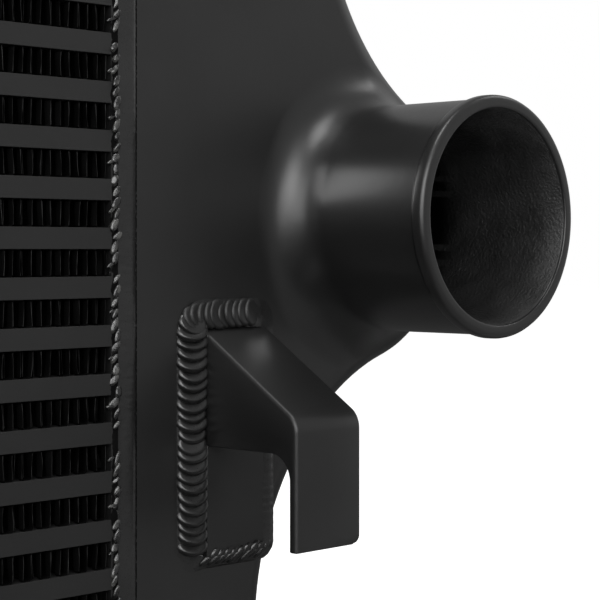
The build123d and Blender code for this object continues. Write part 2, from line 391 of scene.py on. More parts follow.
# Inner fins, header bars and side plates
# The folded sheets inside the tubes, the solid bars that close the rows' ends under the header
# welds, and the flat plates over the outermost rows. All are brazed, and the plates are coated.

# Brazed aluminium as it leaves the furnace: pale grey and slightly dull, with no coat on it.
brazed_aluminium, tree = new_material("brazed_aluminium")
stain = noise(tree, 3, 3.0)
metal = add_node(tree, "ShaderNodeBsdfPrincipled", {
    "Base Color": blended(tree, stain, ("#8f8f8c", "#b4b4b0")), "Metallic": 1.0,
    "Roughness": ranged(tree, stain, 0.38, 0.6),
})["BSDF"]
add_node(tree, "ShaderNodeOutputMaterial", {"Surface": metal})

for node, material in (
    ("charge_fins", brazed_aluminium), ("right_header_bars", powder_on_bars),
    ("left_header_bars", powder_on_bars), ("bottom_side_plate", powder_on_bars),
    ("top_side_plate", powder_on_bars),
):
    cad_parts[node].material_slots[0].material = material

# End tanks
# Hollow sand castings in aluminium, one at each end of the core, with the hose neck cast on. The
# long edges are well rounded, and a hollow flare runs from the face, over the edge, to the neck.

core_end = 320.0
face_out = 38.0
tank_middle = 166.75
tank_half_height = 163.55
upper_width = 90.7
lower_width = 58.7
corner_radius = 22.0
flank_radius = 90.0
end_radius = 51.0
neck_offset = 105.7
neck_radius = 38.1
bore_radius = 34.7
flare_radius = 15.0
edge_radius = 12.0
tank_wall = 5.0
rim_length = 10.0
rim_blend = 9.0
turns = 192
flare_steps = 14
edge_steps = 12
neck_rings = 3
grid_pitch = 16.0
foot_room = 0.35
grid_from_foot = 5.0
grid_from_edge = 6.0
arc_samples = {"line": 8, "wall": 6, "corner": 12, "flank": 26, "end": 72}

# The casting's powder coat follows the sand's soft unevenness, so it looks like satin leather
# from close by, and it shines more than the bars do.
powder_on_casting = coated_surface(
    "satin_black_powder_on_casting", ("#1e1e1e", "#222222"), 26, (0.3, 0.38), 0.45,
    (3.2, 0.03), (0.5, 0.003),
)
# Inside, the sand-cast skin was never smoothed: grains about 1 mm across under a thin coat.
raw_cast_inside = coated_surface(
    "black_powder_on_raw_casting", ("#262626", "#3a3a3a"), 14, (0.42, 0.6), 0.2,
    (2.4, 0.3), (0.9, 0.5),
)


def arc(centre, radius, start, end, count, hollow=False):
    """Points on an arc and the outward directions at them, without its last point."""
    angles = np.linspace(start, end, count, endpoint=False)
    way = np.stack([np.cos(angles), np.sin(angles)], axis=1)
    return np.array(centre) + radius * way, -way if hollow else way


def run(start, end, way, count):
    """Points on a straight stretch and the direction that it faces, without its last point."""
    shares = np.linspace(0, 1, count, endpoint=False)[:, None]
    points = np.array(start) + shares * (np.array(end) - np.array(start))
    return points, np.repeat([way], count, axis=0).astype(float)


def tank_line(inset, density=1):
    """The tank's outline seen from the front, drawn inset, from the core round to the core.

    Given are its points and the outward directions at them. The first axis is counted from the
    core's end and the second from the neck's axis.
    """
    n = {key: density * value for key, value in arc_samples.items()}
    bottom, top = inset - tank_half_height, tank_half_height - inset
    low_side, top_side = lower_width - inset, upper_width - inset
    low_corner = (lower_width - corner_radius, corner_radius - tank_half_height)
    top_corner = (upper_width - corner_radius, tank_half_height - corner_radius)
    bend, flank = corner_radius - inset, flank_radius + inset

    def flank_middle(width, side):
        """The centre of a flank's hollow arc, and its direction from the neck's axis."""
        across = width + flank_radius - neck_offset
        up = side * sqrt((end_radius + flank_radius) ** 2 - across ** 2)
        return (neck_offset + across, up), np.arctan2(up, across)

    low_flank, low_turn = flank_middle(lower_width, -1)
    top_flank, top_turn = flank_middle(upper_width, 1)
    pieces = [
        run((0, bottom), (low_corner[0], bottom), (0, -1), n["line"]),
        arc(low_corner, bend, -pi / 2, 0, n["corner"]),
        run((low_side, low_corner[1]), (low_side, low_flank[1]), (1, 0), n["wall"]),
        arc(low_flank, flank, pi, low_turn + pi, n["flank"], hollow=True),
        arc((neck_offset, 0), end_radius - inset, low_turn, top_turn, n["end"]),
        arc(top_flank, flank, top_turn + pi, pi, n["flank"], hollow=True),
        run((top_side, top_flank[1]), (top_side, top_corner[1]), (1, 0), n["wall"]),
        arc(top_corner, bend, 0, pi / 2, n["corner"]),
        run((top_corner[0], top), (0, top), (0, 1), n["line"]),
        (np.array([[0, top]]), np.array([[0.0, 1.0]])),
    ]
    return np.concatenate([p[0] for p in pieces]), np.concatenate([p[1] for p in pieces])


fine_line, fine_ways = tank_line(0, density=8)


def inset_of(points):
    """How far each point lies inside the outline, and the outward direction nearest to it."""
    points = np.asarray(points, float)
    insets = np.empty(len(points))
    ways = np.empty((len(points), 2))
    for i, point in enumerate(points):
        gaps = point - fine_line
        nearest = int(np.argmin((gaps ** 2).sum(1)))
        ways[i] = fine_ways[nearest]
        insets[i] = -gaps[nearest] @ fine_ways[nearest]
    return insets, ways


def rounding_at(points):
    """The edge's radius, which is nothing on the square rim at the core and grows beside it."""
    share = np.clip((points[:, 0] - rim_length) / rim_blend, 0, 1)
    return edge_radius * share * share * (3 - 2 * share)


def skin(points, insets, ways):
    """How far out the face lies at points of the outline's plane, and its outward directions."""
    radius = rounding_at(points)
    over = np.clip(radius - insets, 0, radius)
    level = np.sqrt(np.maximum(radius ** 2 - over ** 2, 0))
    safe = np.where(radius > 1e-6, radius, 1.0)
    lean = np.where(radius > 1e-6, over / safe, 0.0)
    normals = np.stack([ways[:, 0] * lean, ways[:, 1] * lean, np.sqrt(1 - lean ** 2)], axis=1)
    return level - radius, normals


class Casting:
    """Gathers the corners, faces and face-corner directions of one closed casting."""

    def __init__(self):
        self.corners, self.faces, self.ways, self.raw = [], [], [], []

    def add(self, points, outs):
        """Adds corners from outline points and distances out, and gives their numbers."""
        first = len(self.corners)
        outs = np.broadcast_to(outs, len(points))
        self.corners += [(p[0], p[1], o) for p, o in zip(points, outs)]
        return list(range(first, len(self.corners)))

    def face(self, numbers, ways, raw=False):
        """Adds a face with the directions at its corners, raw where the skin is as it was cast."""
        self.faces.append(tuple(numbers))
        self.ways.append([tuple(w) for w in ways])
        self.raw.append(raw)

    def strip(self, low, high, low_ways, high_ways, raw=False, closed=False):
        """A band of faces between two rows of corners, from the first row out to the second."""
        count = len(low)
        for i in range(count if closed else count - 1):
            j = (i + 1) % count
            self.face(
                (low[i], low[j], high[j], high[i]),
                (low_ways[i], low_ways[j], high_ways[j], high_ways[i]), raw,
            )

    def sheet(self, points, numbers, edges, keep, way_of, flip=False, raw=False):
        """Triangles over points in the outline's plane, along given edges, where keep allows."""
        spots, _, triangles, origins, _, _ = delaunay_2d_cdt(
            [Vector(p) for p in points], edges, [], 0, 1e-7
        )
        known = [numbers[o[0]] if o else None for o in origins]
        if None in known:
            raise ValueError("the outline's edges cross")
        centres = np.array([
            [sum(spots[v][axis] for v in t) / 3 for axis in (0, 1)] for t in triangles
        ])
        kept = keep(centres)
        for triangle, inside in zip(triangles, kept):
            if not inside:
                continue
            order = [known[v] for v in (reversed(triangle) if flip else triangle)]
            self.face(order, [way_of[v] for v in order], raw)


def flat(row, way):
    """The same direction for each corner of a row."""
    return [way] * len(row)


def in_plane(ways):
    """Directions in the outline's plane as directions in space."""
    return np.concatenate([ways, np.zeros((len(ways), 1))], axis=1)


def cast_tank():
    """The right tank, its axes turned to core's end, height above the neck and distance out."""
    tank = Casting()
    centre = np.array([neck_offset, 0.0])
    angles = np.linspace(0, 2 * pi, turns, endpoint=False)
    spokes = np.stack([np.cos(angles), np.sin(angles)], axis=1)
    reach = neck_radius + flare_radius

    # A ball as large as the flare rolls round the neck, on the face and over the rounded edge
    ball = centre + reach * spokes
    depth, outward = inset_of(ball)
    over = np.clip(edge_radius - depth, 0, None)
    apart = flare_radius + edge_radius
    height = np.where(over > 0, np.sqrt(apart ** 2 - over ** 2) - edge_radius, flare_radius)
    down = np.concatenate([
        -outward * (over / apart)[:, None], (-(height + edge_radius) / apart)[:, None],
    ], axis=1)
    inward = in_plane(-spokes)
    span = np.arccos(np.clip((down * inward).sum(1), -1, 1))[:, None]
    rows, row_ways = [], []
    for share in np.linspace(0, 1, flare_steps + 1):
        way = (np.sin((1 - share) * span) * down + np.sin(share * span) * inward) / np.sin(span)
        spot = ball + flare_radius * way[:, :2]
        rows.append(tank.add(spot, height + flare_radius * way[:, 2]))
        row_ways.append(-way)
    for low, high, low_ways, high_ways in zip(rows, rows[1:], row_ways, row_ways[1:]):
        tank.strip(low, high, low_ways, high_ways, closed=True)

    # The neck, its lip, its machined mouth and its raw bore, as radius and distance out
    profile = [
        (38.1, 52.5), (38.16, 52.75), (38.5, 53.05), (38.85, 53.4), (39.08, 53.85), (39.2, 54.4),
        (39.2, 55.4), (39.2, 56.3), (39.1, 56.85), (38.8, 57.35), (38.3, 57.75), (37.7, 57.95),
        (37.0, 58.0), (36.0, 58.0), (35.5, 57.98), (35.15, 57.85), (35.0, 57.6), (35.0, 57.2),
        (34.9, 56.9), (34.7, 56.7), (34.7, 46.0), (34.7, 30.0), (34.7, 12.0), (34.7, -tank_wall),
    ]
    first_raw = 19
    shape = np.array(profile)
    before = np.diff(shape, axis=0, prepend=shape[:1] - [[0, 1]])
    after = np.diff(shape, axis=0, append=shape[-1:] - [[0, 1]])
    before /= np.linalg.norm(before, axis=1)[:, None]
    after /= np.linalg.norm(after, axis=1)[:, None]
    before[0] = after[0] = (0, 1)
    mean = before + after
    mean /= np.linalg.norm(mean, axis=1)[:, None]
    low, low_ways = rows[-1], row_ways[-1]
    neck_top = height
    ways = in_plane(spokes)
    for share in np.arange(1, neck_rings + 1) / (neck_rings + 1):
        row = tank.add(
            centre + neck_radius * spokes, neck_top + share * (profile[0][1] - neck_top)
        )
        tank.strip(low, row, low_ways, ways, closed=True)
        low, low_ways = row, ways
    for order, ((radius, out), (way_r, way_out)) in enumerate(zip(profile, mean)):
        row = tank.add(centre + radius * spokes, out)
        ways = np.concatenate([spokes * way_out, np.full((turns, 1), -way_r)], axis=1)
        tank.strip(low, row, low_ways, ways, raw=order >= first_raw, closed=True)
        low, low_ways = row, ways
    bore_end = low

    # The face and the back with their rounded edges, the face from the flare's foot outwards
    foot = rows[0]
    foot_points = np.array([tank.corners[v][:2] for v in foot])
    foot_reach = np.linalg.norm(foot_points - centre, axis=1)
    foot_turn = np.unwrap(np.arctan2(foot_points[:, 1], foot_points[:, 0] - neck_offset))
    way_of = {v: tuple(w) for v, w in zip(foot, row_ways[0])}
    insets = [edge_radius * (1 - sin(lean)) for lean in np.linspace(pi / 2, 0, edge_steps + 1)]
    grid = np.array([
        (x, y) for x in grid_pitch * np.arange(1, 10) for y in grid_pitch * np.arange(-9, 10)
    ])
    grid = grid[inset_of(grid)[0] > edge_radius + grid_from_edge]

    def beyond_foot(points, room):
        """Whether points lie outside the flare's foot, with some room to it."""
        turn = np.arctan2(points[:, 1], points[:, 0] - neck_offset)
        limit = np.interp(turn, foot_turn, foot_reach, period=2 * pi)
        return np.linalg.norm(points - centre, axis=1) > limit + room

    def broad_side(back):
        """The face or the back. Given are its corners at the core in order, and its rim's."""
        points, numbers, edges = [], [], []

        def put(spots, outs, ways):
            """Adds corners, and gives their first place in the sheet and their numbers."""
            first = len(points)
            fresh = tank.add(spots, outs)
            points.extend(tuple(s) for s in spots)
            numbers.extend(fresh)
            way_of.update({v: tuple(w) for v, w in zip(fresh, ways)})
            return first, fresh

        if not back:
            points.extend(tuple(p) for p in foot_points)
            numbers.extend(foot)
            edges.extend((i, (i + 1) % turns) for i in range(turns))
        starts, ends, rims = [], [], []
        for inset in insets:
            line, line_ways = tank_line(inset)
            outs, normals = skin(line, np.full(len(line), inset), line_ways)
            if back:
                outs, normals = -2 * face_out - outs, normals * [1, 1, -1]
            kept = np.flatnonzero(beyond_foot(line, foot_room) | (back or inset == 0))
            first, fresh = put(line[kept], outs[kept], normals[kept])
            edges.extend(
                (first + i, first + i + 1) for i in range(len(kept) - 1)
                if kept[i + 1] == kept[i] + 1
            )
            starts.append(first)
            ends.append(first + len(fresh) - 1)
            rims.append(fresh)
        seam = starts + ends[::-1]
        edges.extend(zip(seam, seam[1:]))
        loose = grid if back else grid[beyond_foot(grid, grid_from_foot)]
        put(loose, -2 * face_out if back else 0.0, flat(loose, (0.0, 0.0, -1.0 if back else 1.0)))
        tank.sheet(
            points, numbers, edges,
            lambda c: (inset_of(c)[0] > 0) & (back or beyond_foot(c, 0.0)), way_of, flip=back,
        )
        return [numbers[i] for i in seam], rims[0]

    front_seam, rim_front = broad_side(back=False)
    back_seam, rim_back = broad_side(back=True)
    side_ways = in_plane(tank_line(0)[1])
    tank.strip(rim_back, rim_front, side_ways, side_ways)

    # The hollow: square edges, raw skin, open to the core
    line, line_ways = tank_line(tank_wall)
    front = tank.add(line, -tank_wall)
    back = tank.add(line, tank_wall - 2 * face_out)
    hollow_ways = in_plane(-line_ways)
    tank.strip(front, back, hollow_ways, hollow_ways, raw=True)
    count = len(line)
    ring = [(i, (i + 1) % count) for i in range(count)]
    hole = [(count + i, count + (i + 1) % turns) for i in range(turns)]
    spots = [tuple(p) for p in line]

    def in_hollow(points):
        """Whether points lie within the tank's wall."""
        return inset_of(points)[0] > tank_wall

    tank.sheet(
        spots + [tuple(centre + bore_radius * s) for s in spokes], front + bore_end, ring + hole,
        lambda c: in_hollow(c) & (np.linalg.norm(c - centre, axis=1) > bore_radius * 0.999),
        dict.fromkeys(front + bore_end, (0.0, 0.0, -1.0)), flip=True, raw=True,
    )
    tank.sheet(spots, back, ring, in_hollow, dict.fromkeys(back, (0.0, 0.0, 1.0)), raw=True)

    # The narrow ring that is welded to the core
    to_core = (-1.0, 0.0, 0.0)
    ring_faces = [
        [*front_seam, front[-1], front[0]],
        [*reversed(back_seam), back[0], back[-1]],
        [front_seam[0], front[0], back[0], back_seam[0]],
        [back_seam[-1], back[-1], front[-1], front_seam[-1]],
    ]
    for ring_face in ring_faces:
        tank.face(ring_face, flat(ring_face, to_core))
    return tank


def placed(side, x, out, z):
    """A place at the right (1) or left (-1) end, from millimetres off the middle, out and up."""
    return side * x * mm, -(face_out + out) * mm, z * mm


def set_up(name, casting, side, materials):
    """The casting as an object at one end of the core."""
    corners = [placed(side, core_end + u, out, tank_middle + w) for u, w, out in casting.corners]
    faces, ways = [], []
    for numbers, directions in zip(casting.faces, casting.ways):
        turned = [(side * d[0], -d[2], d[1]) for d in directions]
        faces.append(numbers if side > 0 else numbers[::-1])
        ways += turned if side > 0 else turned[::-1]
    mesh = bpy.data.meshes.new(name)
    mesh.from_pydata(corners, [], faces)
    for material in materials:
        mesh.materials.append(material)
    mesh.polygons.foreach_set("material_index", [int(raw) for raw in casting.raw])
    mesh.shade_smooth()
    mesh.normals_split_custom_set(ways)
    return linked(name, mesh)


casting = cast_tank()
for side, end in ((1, "right"), (-1, "left")):
    tank = set_up(f"{end}_cast_tank", casting, side, (powder_on_casting, raw_cast_inside))
    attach(tank, "root")
    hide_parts(f"{end}_tank")

# Header welds
# The bead that joins the core's end to the tank all the way round. Its core side is a row of small
# uneven coins that bite into the bars and fins, and its tank side is drawn out nearly flat.

header_start = 312.0
bead_stations = [
    (0.0, -0.1), (0.6, 0.1), (1.4, 0.2), (2.4, 0.25), (3.4, 0.28), (4.3, 0.38), (5.2, 0.5),
    (6.2, 0.58), (7.2, 0.64), (8.0, 0.62), (8.7, 0.45), (9.2, 0.2), (9.4, 0.05), (9.8, 0.05),
    (10.2, -0.1),
]
bead_step = 0.8
ripple_pitch = 1.9
ripple_depth = 0.22
ripple_crest = 6.5
ripple_bow = 0.12
ripple_drift = 0.05
bead_grain = 0.02
edge_wander = (0.45, 0.1)
bead_corner = 1.0
bead_toe = 9.3
bead_sunk = 0.3
# The band's rows at both edges of the bead, which get the painted shade
painted_shade_rows = (0, 1, 2, 12, 13)
core_half_height = 163.55
most_proud = 1.28
header_coin_pitch = 3.3
header_coin_sizes = ((0.8, 1.35), (1.7, 2.9), (0.9, 1.4))
least_size, most_size = 0.96, 1.04
# The header coins' mean and spread: place across the bead, lean to the core, rise and slant
coin_place, coin_lean, coin_rise, coin_slant = (1.8, 0.5), (-0.38, 0.16), (0.12, 0.12), (0.62, 0.2)
coin_sink = (-0.35, -0.05)
lost_share, lost_depth = 0.16, 0.9
drop_wander = 1.2
drop_lengths = (1.2, 1.9)

# Powder coat over a weld's fine ripples, which turn its satin into many small glints.
powder_on_welds = coated_surface(
    "satin_black_powder_on_welds", ("#1d1d1d", "#242424"), 12, (0.24, 0.34), 0.5,
    (1.1, 0.05), (0.4, 0.004),
)
# Painted shade along both edges of the bead: a dark, dull coat where the crevices between the bead
# and the metal lie in shadow.
painted_crevice_shade = coated_surface(
    "painted_shade_beside_weld", ("#060606", "#0b0b0b"), 6, (0.8, 0.9), 0.05,
    (1.1, 0.02), (0.4, 0.004),
)
# The core side of the header weld: light patches on the bead's crests, painted glints that stand
# in for the light catching them.
painted_glints_on_welds = coated_surface(
    "black_powder_on_weld_crests_with_painted_glints", ("#161616", "#545452"), 3.2, (0.22, 0.32), 0.6,
    (0.9, 0.12), (0.35, 0.02), (0.46, 0.66),
)


def round_the_box(half_a, half_b, radius, step):
    """Points round a rectangle with round corners, and the outward directions at them."""
    corners = [(1, -1, -pi / 2), (1, 1, 0), (-1, 1, pi / 2), (-1, -1, pi)]
    points, ways = [], []
    for (a, b, start), (next_a, next_b, _) in zip(corners, corners[1:] + corners[:1]):
        centre = np.array([a * (half_a - radius), b * (half_b - radius)])
        for angle in np.linspace(start, start + pi / 2, 5):
            way = np.array([cos(angle), sin(angle)])
            points.append(centre + radius * way)
            ways.append(way)
        target = np.array([next_a * (half_a - radius), next_b * (half_b - radius)]) + radius * way
        gap = target - points[-1]
        count = int(np.linalg.norm(gap) / step)
        for share in np.linspace(0, 1, count, endpoint=False)[1:]:
            points.append(target - (1 - share) * gap)
            ways.append(way)
    return np.array(points), np.array(ways)


def banded(count, rows, closed=False, flipped=False):
    """The faces between rows of corners, each row a ring. If closed, the last meets the first."""
    faces = []
    for row in range(rows if closed else rows - 1):
        low, high = row * count, (row + 1) % rows * count
        for i in range(count):
            j = (i + 1) % count
            face = (low + i, low + j, high + j, high + i)
            faces.append(face[::-1] if flipped else face)
    return faces


def header_bead(side):
    """The flat part of the bead, a closed band with fine ripples across its tank side."""
    spread = np.random.default_rng(7)
    path, ways = round_the_box(face_out, core_half_height, bead_corner, bead_step)
    count = len(path)
    travelled = np.concatenate([[0], np.cumsum(np.linalg.norm(np.diff(path, axis=0), axis=1))])
    drift = np.cumsum(spread.normal(0, ripple_drift, count))
    drift -= np.linspace(0, drift[-1], count)
    edge = np.convolve(spread.normal(0, 1, count + 2), [0.3, 0.4, 0.3], "valid")
    rows = []
    for order, (across, proud) in enumerate(bead_stations):
        bow = ripple_bow * (across - ripple_crest) ** 2
        phase = travelled / ripple_pitch + drift + bow / ripple_pitch
        ripple = np.sqrt(np.maximum(0, 1 - (2 * (phase % 1) - 1) ** 2)) - 0.7
        height = proud + ripple_depth * ripple * (0 < order < len(bead_stations) - 1)
        height = height + spread.normal(0, bead_grain, count)
        shift = edge * edge_wander[int(order > 1)] * (across < bead_toe)
        rows.append((across, shift, np.minimum(height, most_proud)))
    for across in (bead_stations[-1][0], 0.0):
        rows.append((across, np.zeros(count), np.full(count, -bead_sunk)))
    corners = []
    for across, shift, out in rows:
        xs = side * (header_start + across + shift)
        corners += [
            (x * mm, y * mm, (z + tank_middle) * mm)
            for x, (y, z) in zip(xs, path + ways * out[:, None])
        ]
    return corners, banded(count, len(rows), closed=True, flipped=side > 0)


# Half sections of three kinds of coin from the middle to the foot, as shares of reach and height
domed = [(0, 1.0), (0.4, 0.95), (0.66, 0.82), (0.84, 0.6), (0.95, 0.34), (1.0, 0.0), (0.93, -0.4)]
pressed = [
    (0, 0.96), (0.45, 0.98), (0.7, 0.92), (0.87, 0.72), (0.96, 0.4), (1.0, 0.0), (0.93, -0.4),
]
rimmed = [
    (0, 0.82), (0.35, 0.84), (0.6, 0.92), (0.76, 1.0), (0.87, 0.9), (0.95, 0.62), (1.0, 0.15),
    (0.95, -0.4),
]


def weld_coin(spokes, profile):
    """One coin of a bead, round in plan, from its profile. X is across and Y along the bead."""
    corners, faces = [(0, 0, profile[0][1])], []
    profile = profile[1:]
    for reach, rise in profile:
        for spoke in range(spokes):
            turn = 2 * pi * spoke / spokes
            corners.append((reach * cos(turn), reach * sin(turn), rise))
    for spoke in range(spokes):
        after = (spoke + 1) % spokes
        faces.append((0, 1 + spoke, 1 + after))
        for ring in range(len(profile) - 1):
            a, b = 1 + ring * spokes, 1 + (ring + 1) * spokes
            faces.append((a + spoke, b + spoke, b + after, a + after))
    last = 1 + (len(profile) - 1) * spokes
    faces.append(tuple(last + spoke for spoke in reversed(range(spokes))))
    return corners, faces


coin_tree, coin_inputs, given = new_growth("coins_along_a_bead", {
    "Coin": "Object", "Turn spread": "Float", "Least size": "Float", "Most size": "Float",
    "Seed": "Int", "Coat": "Material",
})


def chance(least, most):
    """A random number between two, another for each coin and each seed."""
    sockets = {2: least, 3: most, "Seed": given["Seed"]}
    return add_node(coin_tree, "FunctionNodeRandomValue", sockets, {"data_type": "FLOAT"})[1]


outward_there, onward_there, size_there = [
    add_node(coin_tree, "GeometryNodeInputNamedAttribute", {"Name": label}, {
        "data_type": "FLOAT_VECTOR",
    })["Attribute"]
    for label in ("outward", "onward", "coin_size")
]
upright = add_node(coin_tree, "FunctionNodeAxesToRotation", {
    "Primary Axis": outward_there, "Secondary Axis": onward_there,
}, {"primary_axis": "Z", "secondary_axis": "Y"})["Rotation"]
swing_limit = add_node(coin_tree, "ShaderNodeMath", {0: given["Turn spread"], 1: -1.0}, {
    "operation": "MULTIPLY",
})[0]
swing = add_node(coin_tree, "ShaderNodeCombineXYZ", {
    "Z": chance(swing_limit, given["Turn spread"]),
})[0]
swung = add_node(coin_tree, "FunctionNodeRotateRotation", {
    "Rotation": upright, "Rotate By": swing,
}, {"rotation_space": "LOCAL"})["Rotation"]
uneven_size = chance(given["Least size"], given["Most size"])
coin_scale = vector_step(coin_tree, "SCALE", size_there, uneven_size, "Scale")
coin_shape = add_node(coin_tree, "GeometryNodeObjectInfo", {"Object": given["Coin"]}, {
    "transform_space": "ORIGINAL",
})["Geometry"]
coins = repeated(coin_tree, given["Geometry"], coin_shape, Rotation=swung, Scale=coin_scale)
add_node(coin_tree, "NodeGroupOutput", {"Geometry": coated(coin_tree, coins, given["Coat"])})


def row_of_welds(name, spots, outward, onward, sizes, coin, coat, seed, swing):
    """Coins of weld at spots, each standing outward, facing onward and sized across and along."""
    mesh = bpy.data.meshes.new(name)
    mesh.from_pydata([tuple(float(c) * mm for c in s) for s in spots], [], [])
    for label, rows in (("outward", outward), ("onward", onward), ("coin_size", sizes)):
        attribute = mesh.attributes.new(label, "FLOAT_VECTOR", "POINT")
        attribute.data.foreach_set("vector", np.asarray(rows, float).ravel())
    piece = linked(name, mesh)
    grow(piece, coin_tree, coin_inputs, {
        "Coin": coin, "Turn spread": swing, "Least size": least_size, "Most size": most_size,
        "Seed": seed, "Coat": coat,
    })
    piece.data.shade_smooth()
    return piece


def joined_pieces(name, pieces):
    """Several pieces made one, under one name."""
    with bpy.context.temp_override(
        active_object=pieces[0], selected_editable_objects=pieces, selected_objects=pieces
    ):
        bpy.ops.object.join()
    pieces[0].name = pieces[0].data.name = name
    return pieces[0]


# The small coins carry the painted glints on their crests.
small_coin = shown("small_coin", *weld_coin(12, pressed), painted_glints_on_welds, 180)
for side, end in ((1, "right"), (-1, "left")):
    corners, faces = header_bead(side)
    band = shown(f"{end}_header_band", corners, faces, powder_on_welds, 60)
    band.data.materials.append(painted_crevice_shade)
    faces_in_row = len(faces) // (len(bead_stations) + 2)
    # The rows at the bead's edges get the painted crevice shade.
    for face in band.data.polygons:
        face.material_index = int(face.index // faces_in_row in painted_shade_rows)
    spread = np.random.default_rng(11)
    path, ways = round_the_box(face_out, core_half_height, bead_corner, header_coin_pitch)
    count = len(path)
    across = np.clip(spread.normal(*coin_place, count), 1.0, 2.5)
    sizes = np.stack([spread.uniform(*limits, count) for limits in header_coin_sizes], axis=1)
    lean = spread.normal(*coin_lean, count)
    rise = spread.normal(*coin_rise, count) * np.abs(ways[:, 0])
    outward = [(side * l, w[0], w[1] + r) for l, w, r in zip(lean, ways, rise)]
    slants = spread.normal(*coin_slant, count)
    onward = [(side * s, -w[1], -w[0]) for w, s in zip(ways, slants)]
    # A tilted coin reaches further out than its height, and sinks until it stays in the bead
    tilt = np.hypot(lean, rise)
    stretch = np.hypot(sizes[:, :2].max(axis=1) * tilt, sizes[:, 2]) / np.hypot(tilt, 1)
    room = most_proud - 0.03 - most_size * stretch
    sink = np.minimum(spread.uniform(*coin_sink, count), room)
    # Some coins lie so deep that they leave a gap in the row
    sink -= lost_depth * (spread.random(count) < lost_share)
    spots = [
        (side * (header_start + a), *(p + w * s + [0, tank_middle]))
        for p, w, a, s in zip(path, ways, across, sink)
    ]
    sizes = list(sizes)
    # One drop runs out over the middle of each row of fins
    for row in range(fin_rows):
        z = (lowest_fin + row * row_pitch + fin_height / 2) / mm
        z += spread.uniform(-drop_wander, drop_wander)
        x = header_start + 0.25 + spread.uniform(-0.4, 0.2)
        spots.append((side * x, -face_out + 0.1, z))
        outward.append((side * -0.3, -1.0, 0.3))
        onward.append((side * 1.0, 0.0, 0.3))
        sizes.append((0.55, spread.uniform(*drop_lengths), 0.6))
    # The coins and the drops get the coat with painted glints.
    coins = row_of_welds(
        f"{end}_header_coins", spots, outward, onward, np.array(sizes) * mm, small_coin,
        painted_glints_on_welds, 3, 0.3,
    )
    # Coins that turn round a corner of the core lean past the crest's height and are held to it
    middle = [0, 0, tank_middle]
    limit = [np.inf, face_out + most_proud, core_half_height + most_proud]
    held = np.empty(3 * len(coins.data.vertices), np.float32)
    coins.data.vertices.foreach_get("co", held)
    held = np.clip(held.reshape(-1, 3) / mm - middle, np.negative(limit), limit) + middle
    coins.data.vertices.foreach_set("co", (held * mm).astype(np.float32).ravel())
    coins.data.update()
    weld = joined_pieces(f"{end}_header_bead", [band, coins])
    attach(weld, "root")
    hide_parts(f"{end}_header_weld")
bpy.data.objects.remove(small_coin)

# Brackets
# One aluminium plate each, 3.2 mm thick, folded into a foot, a side web and a sloping arm that
# ends in an upright tab. The foot is welded flat on the tank's face below the neck.

bracket_left = 348.0
foot_size = (27.1, 71.5)
foot_top = 131.75
plate = 3.2
tab_width = 27.8
tab_reach = 42.0
tab_drop = 26.4
tab_height = 39.4
bend_outside = 7.0
web_height = 36.8
web_arc = 8.0
tab_corner = 2.5
fold_radius = 1.3
sheared_edge = 0.4
foot_sunk = 0.5
foot_cut = 1.9
arm_sunk = 1.2

# The plate's powder coat is the smoothest, as on sheet, with the edges a little rounded by it.
powder_on_plate = coated_surface(
    "satin_black_powder_on_plate", ("#1e1e1e", "#222222"), 26, (0.36, 0.44), 0.42,
    (2.4, 0.014), (0.35, 0.002),
)


def arm_stations():
    """Points down the arm and the tab, as distance out and up, and the directions they face."""
    slope = np.hypot(tab_reach, tab_drop)
    along = np.array([tab_reach, -tab_drop]) / slope
    facing = np.array([tab_drop, tab_reach]) / slope
    turn = np.arccos(along @ (0, -1))
    tangent = bend_outside * np.tan(turn / 2)
    stations = []
    for share in np.linspace(0, 1, 16):
        reach = -arm_sunk + share * (slope - tangent + arm_sunk)
        stations.append((along * reach, facing, tab_width))
    centre = stations[-1][0] - bend_outside * facing
    start = np.arctan2(facing[1], facing[0])
    for share in np.linspace(0, 1, 11)[1:]:
        way = np.array([cos(start * (1 - share)), sin(start * (1 - share))])
        stations.append((centre + bend_outside * way, way, tab_width))
    bend_end, bottom = stations[-1][0][1], -tab_drop - tab_height + sheared_edge
    heights = list(np.linspace(bend_end, bottom + tab_corner, 24)[1:])
    heights += [bottom + tab_corner * (1 - sin(a)) for a in np.linspace(0.2, pi / 2, 7)]
    for up in heights:
        short = tab_corner - sqrt(max(0, tab_corner ** 2 - max(0, bottom + tab_corner - up) ** 2))
        stations.append((np.array([tab_reach, up]), np.array([1.0, 0.0]), tab_width - short))
    return stations


def web_edge(stations):
    """The web's lower edge under each station: level, then an arc down to the tab's back."""
    inner = tab_reach - plate
    turn_out = inner - web_arc
    starts = [i for i, s in enumerate(stations) if s[0][0] <= turn_out][-1]
    ends = [i for i, s in enumerate(stations) if s[0][1] > -web_height - web_arc][-1]
    lower = []
    for i, (top, facing, _) in enumerate(stations):
        if i <= starts:
            lower.append(np.array([top[0], -web_height]))
        elif i <= ends:
            angle = pi / 2 * (1 - (i - starts) / (ends + 1 - starts))
            lower.append(np.array([
                turn_out + web_arc * cos(angle), -web_height - web_arc + web_arc * sin(angle)
            ]))
        else:
            lower.append(top - plate * facing)
    return lower


def closed_mesh(piece):
    """Merges corners that coincide and turns all the faces outward."""
    solid = bmesh.new()
    solid.from_mesh(piece.data)
    bmesh.ops.remove_doubles(solid, verts=solid.verts, dist=1e-6)
    bmesh.ops.recalc_face_normals(solid, faces=solid.faces)
    solid.to_mesh(piece.data)
    solid.free()


